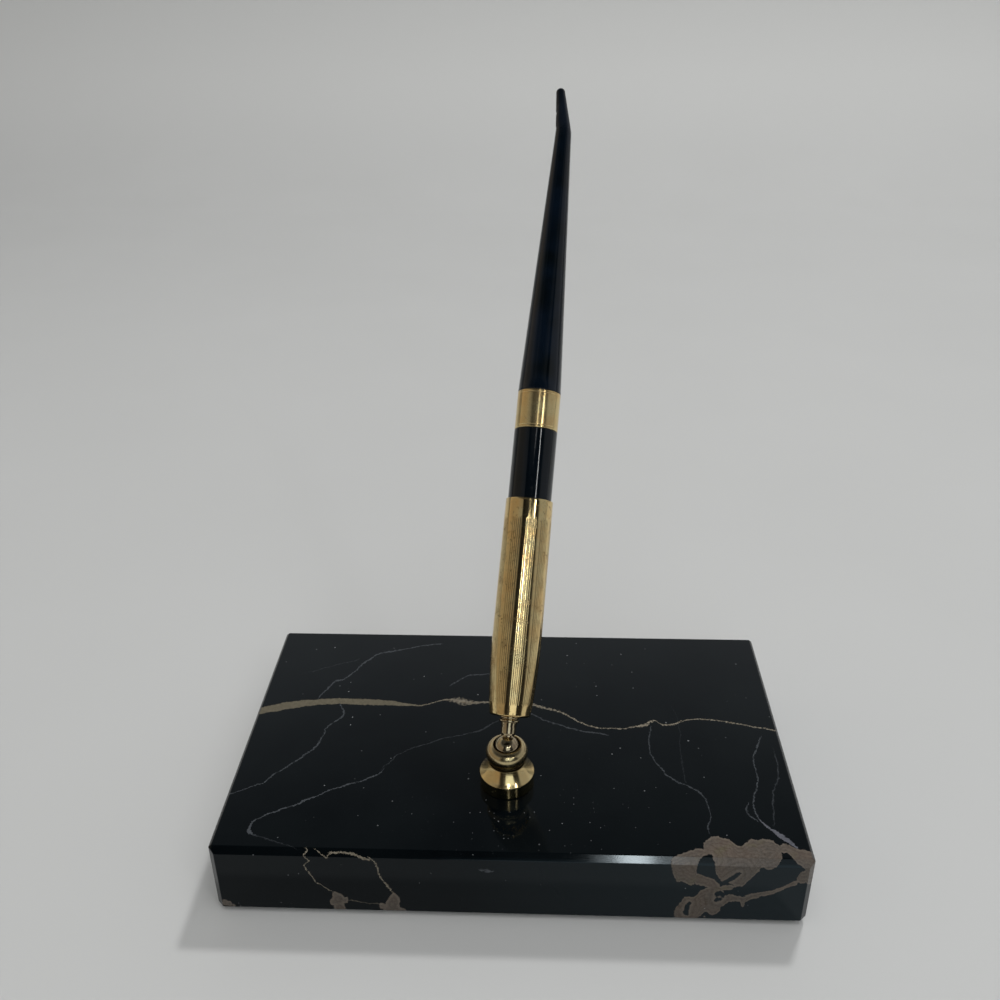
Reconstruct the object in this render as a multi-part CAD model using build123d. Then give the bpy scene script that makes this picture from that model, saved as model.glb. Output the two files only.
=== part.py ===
from build123d import *
import math
import os

# Desk pen stand, in millimetres. The origin is the centre of the pad's underside, +Z is up and
# -Y is the front. The swivel is built upwards from the slab's top face. The stud, the sleeve and
# the pen are built along their common axis, with the ball's centre at height zero.

# Stone slab and the pad under it
slab_width = 130.0
slab_depth = 80.0
slab_thickness = 18.0
slab_front_bevel = 1.3
slab_top_chamfer = 0.6
slab_front_corner_chamfer = 1.35
slab_back_corner_chamfer = 0.6
slab_bottom_chamfer = 0.6
pad_thickness = 1.0
pad_inset = 2.5
pad_corner_radius = 3.0

# Place and pose of the swivel: the pen leans back, and a little to the right
foot_x = -1.0
foot_y = -17.3
lean_angle = 36.7
heading_angle = 7.65

# Screw from below with its washers, in a recess of the slab
screw_radius = 2.0
screw_head_radius = 3.6
screw_head_height = 2.4
screw_slot_width = 1.0
screw_slot_depth = 1.1
flat_washer_width = 3.8
flat_washer_thickness = 0.8
lock_washer_width = 1.4
lock_washer_thickness = 1.0
lock_washer_split = 0.8

# Swivel foot: rim, hollow cone, neck, and a threaded spigot for the cap
foot_rim_overhang = 2.52
foot_rim_height = 3.6
foot_edge_chamfer = 0.25
cone_foot_step = 0.4
cone_height = 2.7
cone_hollow = 0.15
neck_step = 0.3
neck_height = 0.75
spigot_wall = 0.5
spigot_height = 2.65
foot_web = 0.8

# Cap, ball, friction cup and disc springs
ball_radius = 2.88
ball_rise = 2.95
cap_wall = 1.3
cap_bead_width = 1.68
cap_bead_height = 2.15
cap_bead_rise = 1.8
cap_lip_rise = 0.8
cap_ring_step = 0.6
cap_ring_height = 0.25
seat_drop = 1.5
seat_floor = 0.9
disc_count = 3
disc_thickness = 0.4
disc_cone = 0.35
disc_hole_radius = 1.1

# Stem, collar and threaded shank above the ball
stem_waist_radius = 1.52
stem_radius = 1.67
stem_flare_radius = 1.85
stem_waist_height = 3.2
stem_length = 5.72
collar_width = 0.8
collar_height = 1.4
collar_fillet = 0.3
shank_radius = 1.5
shank_in_plug = 4.2

# Sleeve shell, with its plug and liner
sleeve_length = 49.75
sleeve_wall = 0.35
sleeve_floor = 0.6
sleeve_bottom_radius = 4.68
sleeve_swell = 0.15
sleeve_taper_length = 17.2
sleeve_edge_radius = 0.5
plug_height = 4.5
liner_length = 32.15

# Pen: barrel, nose, band and tail, as lengths along the axis
barrel_radius = 5.1
barrel_visible_length = 29.15
barrel_end_chamfer = 0.12
grip_radius = 4.4
grip_length = 10.0
grip_taper_length = 10.0
nose_back_radius = 3.3
nose_front_radius = 1.6
nose_length = 9.0
nose_spigot_radius = 2.55
nose_spigot_length = 5.9
band_length = 9.15
insert_wall = 0.7
insert_length = 11.0
connector_radius = 3.95
connector_thread_radius = 3.45
connector_thread_length = 10.0
connector_in_tail = 8.7
tail_length = 66.25
tail_end_radius = 1.95
tip_length = 11.9
tip_radius = 1.1
tip_bend_angle = 8.5

# Refill and the buffer behind it
refill_radius = 1.65
refill_wall = 0.4
refill_length = 88.0
refill_shoulder_depth = 3.0
writing_tip_radius = 1.15
writing_tip_length = 2.6
writing_cone_length = 2.2
writing_point_radius = 0.35
refill_spigot_length = 4.0
refill_plug_length = 3.0
buffer_length = 5.0

# Clearances
thread_gap = 0.05
ball_gap = 0.05
seat_gap = 0.06
fit_gap = 0.05
pen_gap = 0.1
refill_gap = 0.1
refill_bore_gap = 0.35
screw_hole_gap = 0.4
screw_tip_gap = 0.3
recess_gap = 1.5
recess_spare = 0.8

# Heights in the base, from the table up
slab_bottom = pad_thickness
slab_top = slab_bottom + slab_thickness
recess_depth = flat_washer_thickness + lock_washer_thickness + screw_head_height + recess_spare
recess_top = slab_bottom + recess_depth
flat_washer_bottom = recess_top - flat_washer_thickness
lock_washer_bottom = flat_washer_bottom - lock_washer_thickness

# Radii of the swivel, from the ball outwards
socket_radius = ball_radius + ball_gap
spigot_radius = socket_radius + spigot_wall
neck_radius = spigot_radius + neck_step
cone_top_radius = neck_radius + cone_foot_step
foot_radius = neck_radius + foot_rim_overhang
cap_thread_radius = spigot_radius + thread_gap
cap_radius = cap_thread_radius + cap_wall
cap_ring_radius = cap_radius - cap_ring_step
cap_crown_radius = cap_radius - cap_bead_width
screw_hole_radius = screw_radius + thread_gap
slab_hole_radius = screw_radius + screw_hole_gap
flat_washer_radius = slab_hole_radius + flat_washer_width
lock_washer_radius = slab_hole_radius + lock_washer_width
recess_radius = flat_washer_radius + recess_gap

# Heights of the swivel above the slab's top face
cone_top = foot_rim_height + cone_height
cap_bottom = cone_top + neck_height
spigot_top = cap_bottom + spigot_height
cap_middle = cap_bottom + cap_bead_rise
cap_top = cap_middle + cap_bead_height
ball_height = cap_bottom + ball_rise
seat_top = ball_height - seat_drop
seat_bottom = ball_height - socket_radius - seat_floor
disc_height = disc_thickness + disc_cone
socket_floor = seat_bottom - seat_gap - disc_count * disc_height
screw_hole_depth = socket_floor - foot_web

# Stations along the pen's axis, from the ball's centre
sleeve_bottom = stem_length + collar_height
sleeve_rim = sleeve_bottom + sleeve_length
plug_bottom = sleeve_bottom + sleeve_floor
plug_top = plug_bottom + plug_height
liner_top = plug_top + liner_length
barrel_shoulder = liner_top + fit_gap
barrel_back = barrel_shoulder + barrel_visible_length
grip_front = barrel_shoulder - grip_length
barrel_front = grip_front - grip_taper_length
nose_front = barrel_front - nose_length
nose_back = barrel_front + nose_spigot_length
insert_front = barrel_back - insert_length
connector_front = barrel_back - connector_thread_length
band_back = barrel_back + band_length
connector_back = band_back + connector_in_tail
tail_kink = band_back + tail_length
refill_front = nose_front + refill_shoulder_depth + fit_gap
refill_back = refill_front + refill_length
refill_plug_back = refill_back + refill_plug_length
buffer_back = refill_plug_back + buffer_length

# Radii of the sleeve and the pen that follow from a fit
collar_hole_radius = shank_radius + thread_gap
collar_radius = collar_hole_radius + collar_width
sleeve_rim_radius = barrel_radius + pen_gap + sleeve_wall
sleeve_max_radius = sleeve_rim_radius + sleeve_swell
insert_bore_radius = connector_thread_radius + thread_gap
insert_radius = insert_bore_radius + insert_wall
refill_bore_radius = refill_radius + refill_bore_gap

# Frames of the two axes: upright on the slab, and leaning along the pen
lean = math.radians(lean_angle)
heading = math.radians(heading_angle)
pen_axis = (
    math.sin(lean) * math.sin(heading),
    math.sin(lean) * math.cos(heading),
    math.cos(lean),
)
tilt_axis = (math.cos(heading), -math.sin(heading), 0)
on_slab = Location((foot_x, foot_y, slab_top))
under_slab = Location((foot_x, foot_y, 0))
on_pen = Plane((foot_x, foot_y, slab_top + ball_height), x_dir=tilt_axis, z_dir=pen_axis).location


def turned(*edges):
    """Solid turned about Z from a closed outline of edges, drawn with radius as x and height as y."""
    return revolve(Plane.XZ * make_face(edges), Axis.Z)


def turned_points(*points):
    """Solid turned about Z from the corners (radius, height) of its half section."""
    return turned(Polyline(*points, close=True))


def ring(outer_radius, inner_radius, bottom, top):
    """Plain tube about Z between two heights."""
    return turned_points(
        (inner_radius, bottom), (outer_radius, bottom), (outer_radius, top), (inner_radius, top)
    )


def rod(radius, bottom, top):
    """Plain cylinder about Z between two heights."""
    return Pos(0, 0, bottom) * Cylinder(radius, top - bottom, align=(Align.CENTER, Align.CENTER, Align.MIN))


def make_marble_base():
    """Slab with chamfered edges, a wider bevel along the front, and a hole and a recess for the screw."""
    slab = Pos(0, 0, slab_bottom) * Box(
        slab_width, slab_depth, slab_thickness, align=(Align.CENTER, Align.CENTER, Align.MIN)
    )
    slab = chamfer(slab.edges().filter_by(Axis.Z).group_by(Axis.Y)[0], slab_front_corner_chamfer)
    slab = chamfer(slab.edges().filter_by(Axis.Z).group_by(Axis.Y)[-1], slab_back_corner_chamfer)
    slab = chamfer(slab.faces().sort_by(Axis.Z)[-1].edges(), slab_top_chamfer)
    slab = chamfer(slab.faces().sort_by(Axis.Z)[0].edges(), slab_bottom_chamfer)
    bevel_side = slab_front_bevel * math.sqrt(2)
    front_edge = Pos(0, -slab_depth / 2, slab_top)
    slab -= front_edge * Rot(45, 0, 0) * Box(slab_width, bevel_side, bevel_side)
    slab -= under_slab * rod(slab_hole_radius, slab_bottom, slab_top)
    slab -= under_slab * rod(recess_radius, slab_bottom, recess_top)
    return slab


def make_felt_pad():
    """Sheet under the slab, set in from its edges."""
    outline = RectangleRounded(slab_width - 2 * pad_inset, slab_depth - 2 * pad_inset, pad_corner_radius)
    return extrude(outline, pad_thickness)


def make_base_screw():
    """Slotted screw, head down in the recess and thread up in the foot."""
    head_bottom = lock_washer_bottom - screw_head_height
    screw = rod(screw_head_radius, head_bottom, lock_washer_bottom)
    screw += rod(screw_radius, lock_washer_bottom, slab_top + screw_hole_depth - screw_tip_gap)
    slot = Box(
        2 * screw_head_radius,
        screw_slot_width,
        screw_slot_depth,
        align=(Align.CENTER, Align.CENTER, Align.MIN),
    )
    return under_slab * (screw - Pos(0, 0, head_bottom) * slot)


def make_flat_washer():
    """Washer against the roof of the recess."""
    return under_slab * ring(flat_washer_radius, slab_hole_radius, flat_washer_bottom, recess_top)


def make_lock_washer():
    """Split ring between the flat washer and the screw's head."""
    washer = ring(lock_washer_radius, slab_hole_radius, lock_washer_bottom, flat_washer_bottom)
    split = Pos(lock_washer_radius, 0, lock_washer_bottom) * Box(
        2 * lock_washer_radius,
        lock_washer_split,
        2 * lock_washer_thickness,
    )
    return under_slab * (washer - split)


def make_swivel_foot():
    """Rim, hollow cone, neck and spigot, bored from above for the cup and from below for the screw."""
    rim_edge = (foot_radius - foot_edge_chamfer, foot_rim_height)
    foot = turned(
        Polyline(
            (cone_top_radius, cone_top),
            (neck_radius, cone_top),
            (neck_radius, cap_bottom),
            (spigot_radius, cap_bottom),
            (spigot_radius, spigot_top),
            (socket_radius, spigot_top),
            (socket_radius, socket_floor),
            (0, socket_floor),
            (0, screw_hole_depth),
            (screw_hole_radius, screw_hole_depth),
            (screw_hole_radius, 0),
            (foot_radius, 0),
            (foot_radius, foot_rim_height - foot_edge_chamfer),
            rim_edge,
        ),
        SagittaArc(rim_edge, (cone_top_radius, cone_top), cone_hollow),
    )
    return on_slab * foot


def make_socket_cap():
    """Bulging bead with a ring at its foot, a threaded counterbore and a lip over the ball."""
    lip_angle = math.asin(cap_lip_rise / socket_radius)
    lip_radius = socket_radius * math.cos(lip_angle)
    lip_height = ball_height + cap_lip_rise
    socket_middle = (
        socket_radius * math.cos(lip_angle / 2),
        ball_height + socket_radius * math.sin(lip_angle / 2),
    )
    thread_top = spigot_top + fit_gap
    ring_top = cap_bottom + cap_ring_height
    ring_angle = math.degrees(math.asin((cap_middle - ring_top) / cap_bead_height))
    bead = EllipticalCenterArc(
        (cap_crown_radius, cap_middle),
        cap_bead_width,
        cap_bead_height,
        -ring_angle,
        arc_size=90 + ring_angle,
    )
    cap = turned(
        bead,
        Polyline(
            bead @ 0,
            (cap_ring_radius, ring_top),
            (cap_ring_radius, cap_bottom),
            (cap_thread_radius, cap_bottom),
            (cap_thread_radius, thread_top),
            (socket_radius, thread_top),
            (socket_radius, ball_height),
        ),
        ThreePointArc((socket_radius, ball_height), socket_middle, (lip_radius, lip_height)),
        Line((lip_radius, lip_height), (cap_crown_radius, cap_top)),
    )
    return on_slab * cap


def make_ball_seat():
    """Cup with a round hollow that the ball turns in."""
    cup = rod(socket_radius - seat_gap, seat_bottom, seat_top)
    cup -= Pos(0, 0, ball_height) * Sphere(socket_radius)
    return on_slab * cup


def make_disc_springs():
    """Stack of coned rings, each turned over on the one below it."""
    outer_radius = socket_radius - seat_gap
    discs = []
    for number in range(disc_count):
        bottom = socket_floor + number * disc_height
        inner_rise = disc_cone if number % 2 == 0 else 0
        outer_rise = disc_cone - inner_rise
        discs.append(
            on_slab
            * turned_points(
                (disc_hole_radius, bottom + inner_rise),
                (outer_radius, bottom + outer_rise),
                (outer_radius, bottom + outer_rise + disc_thickness),
                (disc_hole_radius, bottom + inner_rise + disc_thickness),
            )
        )
    return Compound(discs)


def make_ball_stud():
    """Ball, waisted stem that flares to a shoulder, and a shank."""
    shank_top = plug_bottom + shank_in_plug
    stem = turned_points(
        (0, 0),
        (stem_waist_radius, 0),
        (stem_waist_radius, ball_radius),
        (stem_radius, stem_waist_height),
        (stem_flare_radius, stem_length - fit_gap),
        (shank_radius, stem_length - fit_gap),
        (shank_radius, shank_top),
        (0, shank_top),
    )
    return on_pen * (Sphere(ball_radius) + stem)


def make_stem_collar():
    """Ring with rounded edges between the stem's shoulder and the sleeve."""
    collar = rod(collar_radius, stem_length, sleeve_bottom)
    collar = fillet(collar.edges().filter_by(GeomType.CIRCLE), collar_fillet)
    return on_pen * (collar - rod(collar_hole_radius, stem_length, sleeve_bottom))


def sleeve_core(inset, bottom, top):
    """Body of the sleeve's outline, drawn in by inset and cut off at two stations.

    The outline is an arc from the bottom edge up to the widest place, which it meets upright, and
    then a straight line to the rim. Drawing it in keeps the arc's centre.
    """
    widest = sleeve_bottom + sleeve_taper_length
    narrowing = sleeve_max_radius - sleeve_bottom_radius
    arc_radius = (narrowing**2 + sleeve_taper_length**2) / (2 * narrowing)
    arc_center = sleeve_max_radius - arc_radius
    drawn_radius = arc_radius - inset

    def on_arc(height):
        return (arc_center + math.sqrt(drawn_radius**2 - (widest - height) ** 2), height)

    upper = Polyline(
        (sleeve_max_radius - inset, widest),
        (sleeve_rim_radius - inset, sleeve_rim),
        (0, sleeve_rim),
        (0, bottom),
        on_arc(bottom),
    )
    lower = ThreePointArc(on_arc(bottom), on_arc((bottom + widest) / 2), on_arc(widest))
    return turned(upper, lower) & rod(2 * sleeve_max_radius, bottom, top)


def make_sleeve_shell():
    """Thin tapered shell with a rounded bottom edge and a hole for the shank."""
    shell = sleeve_core(0, sleeve_bottom, sleeve_rim)
    bottom_edge = shell.edges().filter_by(GeomType.CIRCLE).sort_by(Axis.Z)[0]
    shell = fillet(bottom_edge, sleeve_edge_radius)
    shell -= sleeve_core(sleeve_wall, plug_bottom, sleeve_rim)
    return on_pen * (shell - rod(collar_hole_radius, sleeve_bottom, plug_bottom))


def make_sleeve_plug():
    """Bush that fills the bottom of the shell round the shank."""
    plug = sleeve_core(sleeve_wall + fit_gap, plug_bottom, plug_top)
    return on_pen * (plug - rod(shank_radius + thread_gap, plug_bottom, plug_top))


def make_sleeve_liner():
    """Liner of the shell, bored to the shape of the pen's grip and nose."""
    liner = sleeve_core(sleeve_wall + fit_gap, plug_top, liner_top)
    bore = turned_points(
        (0, plug_top),
        (nose_back_radius + pen_gap, plug_top),
        (nose_back_radius + pen_gap, barrel_front),
        (grip_radius + pen_gap, grip_front),
        (grip_radius + pen_gap, liner_top),
        (0, liner_top),
    )
    return on_pen * (liner - bore)


def make_nose_cone():
    """Metal cone at the writing end, with a spigot in the barrel and a stepped bore."""
    shoulder = nose_front + refill_shoulder_depth
    tube_bore_radius = refill_radius + refill_gap
    tip_bore_radius = writing_tip_radius + refill_gap
    nose = turned_points(
        (tip_bore_radius, nose_front),
        (nose_front_radius, nose_front),
        (nose_back_radius, barrel_front),
        (nose_spigot_radius, barrel_front),
        (nose_spigot_radius, nose_back),
        (tube_bore_radius, nose_back),
        (tube_bore_radius, shoulder),
        (tip_bore_radius, shoulder),
    )
    return on_pen * nose


def make_pen_barrel():
    """Barrel with a tapered grip, bored for the nose, the refill and the threaded insert."""
    nose_bore_radius = nose_spigot_radius + fit_gap
    insert_pocket_radius = insert_radius + fit_gap
    barrel = turned_points(
        (nose_bore_radius, barrel_front),
        (nose_back_radius, barrel_front),
        (grip_radius, grip_front),
        (grip_radius, barrel_shoulder),
        (barrel_radius, barrel_shoulder),
        (barrel_radius, barrel_back - barrel_end_chamfer),
        (barrel_radius - barrel_end_chamfer, barrel_back),
        (insert_pocket_radius, barrel_back),
        (insert_pocket_radius, insert_front),
        (refill_bore_radius, insert_front),
        (refill_bore_radius, nose_back + fit_gap),
        (nose_bore_radius, nose_back + fit_gap),
    )
    return on_pen * barrel


def make_barrel_insert():
    """Threaded tube in the back of the barrel."""
    return on_pen * ring(insert_radius, insert_bore_radius, insert_front + fit_gap, barrel_back)


def make_center_band():
    """Plain band, flush with the barrel and the tail, with both edges broken."""
    bore_radius = connector_radius + fit_gap
    band = turned_points(
        (bore_radius, barrel_back),
        (barrel_radius - barrel_end_chamfer, barrel_back),
        (barrel_radius, barrel_back + barrel_end_chamfer),
        (barrel_radius, band_back - barrel_end_chamfer),
        (barrel_radius - barrel_end_chamfer, band_back),
        (bore_radius, band_back),
    )
    return on_pen * band


def make_tail_connector():
    """Thread that screws into the barrel, on a tube that carries the band and holds the tail."""
    connector = turned_points(
        (refill_bore_radius, connector_front),
        (connector_thread_radius, connector_front),
        (connector_thread_radius, barrel_back),
        (connector_radius, barrel_back),
        (connector_radius, connector_back),
        (refill_bore_radius, connector_back),
    )
    return on_pen * connector


def make_pen_tail():
    """Long taper with a bent, round-ended tip, bored for the connector and the refill."""
    socket_radius_in_tail = connector_radius + fit_gap
    socket_back = connector_back + fit_gap
    taper = turned_points(
        (0, buffer_back),
        (refill_bore_radius, buffer_back),
        (refill_bore_radius, socket_back),
        (socket_radius_in_tail, socket_back),
        (socket_radius_in_tail, band_back),
        (barrel_radius - barrel_end_chamfer, band_back),
        (barrel_radius, band_back + barrel_end_chamfer),
        (tail_end_radius, tail_kink),
        (0, tail_kink),
    )
    tip_axis = Pos(0, 0, tail_kink) * Rot(0, -tip_bend_angle, 0)
    dome_center = tip_length - tip_radius
    tip = turned_points((0, 0), (tail_end_radius, 0), (tip_radius, dome_center), (0, dome_center))
    tip += Pos(0, 0, dome_center) * Sphere(tip_radius)
    knuckle = Pos(0, 0, tail_kink) * Sphere(tail_end_radius)
    return on_pen * (taper + knuckle + tip_axis * tip)


def make_refill_tip():
    """Writing tip: a cone with a blunt point, a neck in the nose and a spigot in the ink tube."""
    spigot_end = refill_front + refill_spigot_length
    neck_front = nose_front - writing_tip_length + writing_cone_length
    tip = turned_points(
        (0, nose_front - writing_tip_length),
        (writing_point_radius, nose_front - writing_tip_length),
        (writing_tip_radius, neck_front),
        (writing_tip_radius, spigot_end),
        (0, spigot_end),
    )
    return on_pen * tip


def make_refill_tube():
    """Ink tube, resting on the step in the nose."""
    return on_pen * ring(refill_radius, refill_radius - refill_wall, refill_front, refill_back)


def make_refill_plug():
    """Plug in the back of the ink tube."""
    plug = rod(refill_radius, refill_back, refill_plug_back)
    plug += rod(refill_radius - refill_wall - fit_gap, refill_back - refill_spigot_length, refill_back)
    return on_pen * plug


def make_refill_buffer():
    """Soft buffer between the refill and the end of the tail's bore."""
    return on_pen * rod(refill_radius, refill_plug_back, buffer_back)


pieces = {
    "marble_base": make_marble_base(),
    "felt_pad": make_felt_pad(),
    "base_screw": make_base_screw(),
    "flat_washer": make_flat_washer(),
    "lock_washer": make_lock_washer(),
    "swivel_foot": make_swivel_foot(),
    "socket_cap": make_socket_cap(),
    "ball_seat": make_ball_seat(),
    "disc_springs": make_disc_springs(),
    "ball_stud": make_ball_stud(),
    "stem_collar": make_stem_collar(),
    "sleeve_shell": make_sleeve_shell(),
    "sleeve_plug": make_sleeve_plug(),
    "sleeve_liner": make_sleeve_liner(),
    "nose_cone": make_nose_cone(),
    "pen_barrel": make_pen_barrel(),
    "barrel_insert": make_barrel_insert(),
    "center_band": make_center_band(),
    "tail_connector": make_tail_connector(),
    "pen_tail": make_pen_tail(),
    "refill_tip": make_refill_tip(),
    "refill_tube": make_refill_tube(),
    "refill_plug": make_refill_plug(),
    "refill_buffer": make_refill_buffer(),
}

os.makedirs("parts", exist_ok=True)
for name, piece in pieces.items():
    export_step(piece, f"parts/{name}.step")
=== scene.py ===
"""Looks of a desk pen stand: a polished black stone slab with tan and grey veins, a gold ball swivel,
an engraved gold sleeve on the swivel's stem, and a black desk pen with a gold band.

Sizes are in millimetres until a mesh is made. The upright pieces are turned about the swivel's axis,
from the slab's top face up. The stud, the sleeve and the pen are turned about the pen's axis, with the
ball's centre at height zero.
"""

import math

import bpy
import numpy as np
from mathutils import Matrix


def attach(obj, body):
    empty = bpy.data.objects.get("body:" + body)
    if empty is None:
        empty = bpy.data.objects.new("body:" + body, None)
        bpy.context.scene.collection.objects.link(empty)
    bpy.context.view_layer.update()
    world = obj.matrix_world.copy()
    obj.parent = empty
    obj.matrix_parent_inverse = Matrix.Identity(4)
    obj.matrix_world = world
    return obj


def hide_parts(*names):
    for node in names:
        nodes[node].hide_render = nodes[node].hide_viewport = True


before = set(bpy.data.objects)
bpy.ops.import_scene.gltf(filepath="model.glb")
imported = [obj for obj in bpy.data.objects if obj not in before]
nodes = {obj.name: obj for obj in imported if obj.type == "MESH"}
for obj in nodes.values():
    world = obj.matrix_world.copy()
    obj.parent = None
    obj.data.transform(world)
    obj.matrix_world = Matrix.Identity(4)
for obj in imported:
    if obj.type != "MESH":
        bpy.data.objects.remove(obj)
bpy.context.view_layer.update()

MM = 0.001

# Slab and swivel
slab_width = 130.0
slab_depth = 80.0
slab_top = 19.0
slab_edge = 0.12
slab_chamfer = 0.6
pad_inset = 2.5
swivel_place = (-1.0, -17.3)
ball_height = 10.0
ball_radius = 2.88
ball_gap = 0.05
socket_radius = ball_radius + ball_gap

# Lean of the pen back from the upright, and its heading to the right
lean = math.radians(36.7)
heading = math.radians(7.65)

# Lengths along the pen's axis
stem_length = 5.72
collar_height = 1.4
sleeve_length = 49.75
sleeve_floor = 0.6
sleeve_taper_length = 17.2
plug_height = 4.5
shank_in_plug = 4.2
liner_length = 32.15
barrel_visible_length = 29.15
grip_length = 10.0
grip_taper_length = 10.0
nose_length = 9.0
nose_spigot_length = 5.9
refill_shoulder_depth = 3.0
refill_and_buffer_length = 96.0
point_length = 2.6
point_spigot_length = 4.0
insert_length = 11.0
band_length = 9.15
connector_in_tail = 8.7
tail_length = 66.25
tip_length = 11.9
fit_gap = 0.05

# Stations along the pen's axis, from the ball's centre
stem_end = stem_length - fit_gap
collar_bottom = stem_length
sleeve_bottom = collar_bottom + collar_height
sleeve_widest = sleeve_bottom + sleeve_taper_length
sleeve_rim = sleeve_bottom + sleeve_length
plug_bottom = sleeve_bottom + sleeve_floor
plug_top = plug_bottom + plug_height
shank_end = plug_bottom + shank_in_plug
liner_top = plug_top + liner_length
barrel_shoulder = liner_top + fit_gap
grip_front = barrel_shoulder - grip_length
barrel_front = grip_front - grip_taper_length
barrel_back = barrel_shoulder + barrel_visible_length
insert_front = barrel_back - insert_length
nose_front = barrel_front - nose_length
nose_step = nose_front + refill_shoulder_depth
nose_back = barrel_front + nose_spigot_length
barrel_step = nose_back + fit_gap
refill_front = nose_step + fit_gap
point_front = nose_front - point_length
point_back = refill_front + point_spigot_length
band_back = barrel_back + band_length
tail_socket_end = band_back + connector_in_tail + fit_gap
tail_bore_end = refill_front + refill_and_buffer_length
tail_kink = band_back + tail_length
tail_end = tail_kink + tip_length

# Radii along the pen's axis
barrel_radius = 5.1
pen_gap = 0.1
sleeve_wall = 0.35
sleeve_swell = 0.15
sleeve_rim_radius = barrel_radius + pen_gap + sleeve_wall
sleeve_max_radius = sleeve_rim_radius + sleeve_swell
sleeve_bottom_radius = 4.68
sleeve_hole_radius = 1.55
liner_gap = 0.05
grip_radius = 4.4
nose_radius = 3.3
tail_kink_radius = 1.95
tail_tip_radius = 1.1
tip_bend = math.radians(8.5)
tip_bend_length = 3.0

# Foot: radii, and heights above the slab
screw_hole_radius = 2.05
screw_hole_depth = 3.06
foot_radius = 6.25
foot_edge_width = 0.2
foot_edge_height = 0.28
foot_side_top = 3.35
cone_rim = (6.0, 3.6)
cone_top = (4.13, 6.3)
cone_hollow = 0.15
neck_radius = 3.73
neck_top = 7.05
spigot_radius = 3.43
spigot_top = 9.7
cup_floor = 3.86

# Cap: the bead's ellipse, the ring under it and the thread inside
bead_middle = (3.1, 8.85)
bead_halves = (1.68, 2.15)
bead_start = math.radians(-46.0)
cap_ring_radius = 4.18
cap_ring_top = 7.3
cap_thread_radius = 3.48
cap_thread_top = 9.75
lip_rise = 0.8
# Painted shadow: inside this radius about the swivel the cap is painted near black, for the shaded gap round
# the ball
shaded_gap_radius = 3.04

# Stud and collar. The waist's rows are radius and station, the beads' are radius and height in the collar.
ball_neck_radius = 1.52
stem_waist = ((1.53, 2.75), (1.67, 3.2), (1.71, 4.6))
stem_end_radius = 1.85
shank_radius = 1.5
collar_top = 1.39
collar_beads = (
    (2.2, 0), (2.35, 0.15), (2.35, 0.5), (2.2, 0.65), (1.95, 0.71), (1.95, 0.85), (2.15, 0.93), (2.2, 1.1),
    (2.15, collar_top),
)

# Insides of the liner and the pen
liner_grip_bore = 4.5
liner_nose_bore = 3.4
edge_break = 0.12
refill_bore = 2.0
connector_bore = 4.0
spigot_bore = 2.6
insert_bore = 4.25
nose_tip_bore = 1.25
nose_tip_radius = 1.6
nose_spigot_radius = 2.55
nose_bore = 1.75
point_ball = ((0.22, 0.05), (0.35, 0.25))
point_radius = 1.15
point_cone = 2.2

# Fine turned line near each edge of the band
band_line_at = 0.70
band_line_half = 0.08
band_line_depth = 0.06

# Cut edge of the felt, from the centre below to the centre above: distance in from the edge, and height
felt_power = 40
felt_ripple = 0.05
felt_inset = (200, 0.35, 0.12, 0.0, 0.0, 0.12, 0.35, 200)
felt_height = (0.0, 0.0, 0.08, 0.25, 0.75, 0.92, 0.98, 0.98)

# Floor and backdrop: half width and front reach, where the sweep starts, its radius and the backdrop's top
floor_reach = 2500.0
sweep_start = 650.0
sweep_radius = 250.0
backdrop_top = 420.0

# Engraving of the sleeve: panels of fine lines with plain stripes between them
panel_count = 10
panel_angle = math.radians(25.5)
panel_turn = math.radians(-85.0)
lines_per_panel = 5
line_depth = 0.05
panel_bottom = 9.6
panel_top = 52.4
panel_fade = 0.6
sleeve_foot_round = 0.5
sleeve_lip_height = 0.12

# One engraved line: places across it as shares of its pitch, and the depth there. Then places across
# a plain stripe, as shares of its width.
groove_at = (0.0, 0.25, 0.5, 0.58, 0.92)
groove_shape = (0.0, 1.0, 0.0, 0.0, 0.0)
stripe_at = (0.15, 0.4, 0.6, 0.85)

# Dents near the end of the tail: station, angle round the tail in degrees, depth, length, width
tail_dents = (
    (150.2, 185, 0.10, 0.7, 0.6),
    (152.4, 150, 0.06, 0.6, 0.5),
    (154.3, 190, 0.14, 0.4, 0.6),
    (151.6, 265, 0.10, 0.8, 0.5),
    (156.0, 230, 0.08, 0.6, 0.5),
)

# Veins of the stone over its top and front, at places read in the photograph, put on the slab and rounded.
# A place on the slab is its x, and its run from the front top edge: positive back over the top face,
# negative down the front. A vein has its direction, its strength and its rows: a place along, a place across
# and a half width. A vein that runs "x" has x along, and one that runs "run" has the run along.
tan_band = ("x", 1.0, (
    (-66, 45.5, 1.3), (-59, 47.7, 1.5), (-49, 49.7, 1.2), (-40, 50, 1.2), (-30, 49.5, 0.8), (-24, 49, 0.3),
    (-18.5, 51, 0.25), (-16, 51.3, 0.6), (-13.5, 50.8, 1.3), (-11, 50.5, 0.7), (-7, 50.8, 0.35),
    (0, 50.6, 0.35), (4.5, 50, 0.5), (13, 46.4, 0.35), (18.5, 42.4, 0.3), (24, 41.5, 0.25), (28.5, 42, 0.25),
    (33, 43.3, 0.55), (35, 44.7, 0.3), (37.5, 43, 0.3), (44, 45.4, 0.25), (53, 44.7, 0.25), (66, 41.5, 0.25),
))
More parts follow.
